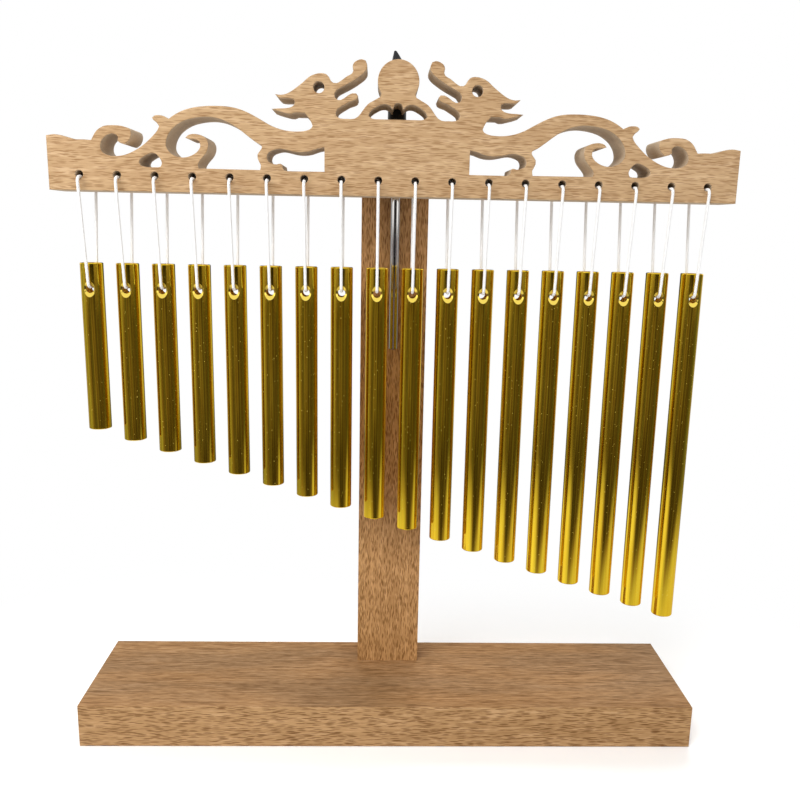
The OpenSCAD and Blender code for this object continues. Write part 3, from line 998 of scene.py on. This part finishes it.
# Two pairs of soft panels stand at the walls. Their light grows in two steps, each with the heights
# between which it grows and by how much. PANEL_START and PANEL_END say how far aside they reach, 0 in front
# or behind and 1 at the side
PANEL_LOW = ((0.05, 0.15), 0.18)
PANEL_HIGH = ((0.20, 0.26), 1.15)
PANEL_START = (0.48, 0.62)
PANEL_END = (0.97, 0.92)
# The wall between them is dark, in front and behind, above a low height
DARK_ENDS = (0.60, 0.48)
DARK_HEIGHTS = (0.07, 0.15)
DARK_DEPTH = 0.85
# The pale sheet round the stand: its middle, half its width, half its depth at the left and elsewhere,
# where its edge begins to fade in the middle and towards its ends, where the fade ends, and its level at
# the left and at the right. Each change from one to the other has the x where it begins and ends. The
# places of the fade are shares of the half sizes. The higher the power, the squarer the sheet's corners
PALE_X = 0.07
PALE_HALF_W = 0.37
PALE_HALF_D = (0.29, 0.205)
PALE_HALF_D_X = (-0.06, 0.04)
PALE_INNER = (0.22, 0.60)
PALE_INNER_X = (0.03, 0.16)
PALE_OUTER = 1.30
PALE_SIDES = (1.06, 0.78)
PALE_SIDES_X = (-0.02, 0.12)
PALE_POWER = 4.0


def make_room_wall():
    material, t = glow("room_wall")
    place = t.place()
    height = t.add("ShaderNodeSeparateXYZ", {0: place}).outputs[2]
    bearing = bearing_of(t, place)
    aside = t.math("ABSOLUTE", t.math("SINE", bearing))
    low, high = (t.fade(height, *growth) for growth in (PANEL_LOW, PANEL_HIGH))
    panels = t.math("MULTIPLY", t.step(aside, *PANEL_START), t.step(aside, *PANEL_END))
    panels = t.math("MULTIPLY", panels, t.math("ADD", low, high))
    dark = t.math("MULTIPLY", t.step(aside, *DARK_ENDS), t.fade(height, DARK_HEIGHTS, DARK_DEPTH))
    level = uneven(t, bearing, bearing_levels(t, bearing, FAR_LEVELS))
    level = t.math("MULTIPLY", level, t.math("SUBTRACT", 1.0, dark))
    level = t.math("ADD", level, panels)
    finish_glow(t, level, bearing)
    following = [(side + 1) % ROUND_SIDES for side in range(ROUND_SIDES)]
    faces = [(s, f, ROUND_SIDES + f, ROUND_SIDES + s) for s, f in enumerate(following)]
    mesh = bpy.data.meshes.new("room")
    mesh.from_pydata(ring_points(ROOM_R, 0) + ring_points(ROOM_R, ROOM_H), [], faces)
    room = linked("room", mesh, material)
    only_reflected(room)


def make_room_floor():
    material, t = glow("room_floor")
    place = t.place()
    bearing = bearing_of(t, place)
    far = t.add("ShaderNodeVectorMath", {0: place}, operation="LENGTH").outputs["Value"]
    near_level = bearing_levels(t, bearing, NEAR_LEVELS)
    far_level = bearing_levels(t, bearing, FAR_LEVELS)
    beyond = t.mix(t.step(far, NEAR, FAR), near_level, far_level)
    x, y, _ = t.add("ShaderNodeSeparateXYZ", {0: place}).outputs
    across = t.math("DIVIDE", t.math("SUBTRACT", x, PALE_X), PALE_HALF_W)
    out = t.math("DIVIDE", y, t.step(x, *PALE_HALF_D_X, *PALE_HALF_D))
    across, out = (t.math("POWER", t.math("ABSOLUTE", share), PALE_POWER) for share in (across, out))
    reach = t.math("POWER", t.math("ADD", across, out), 1 / PALE_POWER)
    pale = t.step(x, *PALE_SIDES_X, *PALE_SIDES)
    inner = t.step(t.math("ABSOLUTE", x), *PALE_INNER_X, *PALE_INNER)
    level = t.mix(t.step(reach, inner, PALE_OUTER), pale, uneven(t, bearing, beyond))
    finish_glow(t, level, bearing)
    only_reflected(disc("room_floor", ROOM_R, ROOM_FLOOR_Z, material))


make_floor()
make_world()
make_lamps()
make_room_wall()
make_room_floor()

bpy.context.scene.view_settings.view_transform = "Standard"
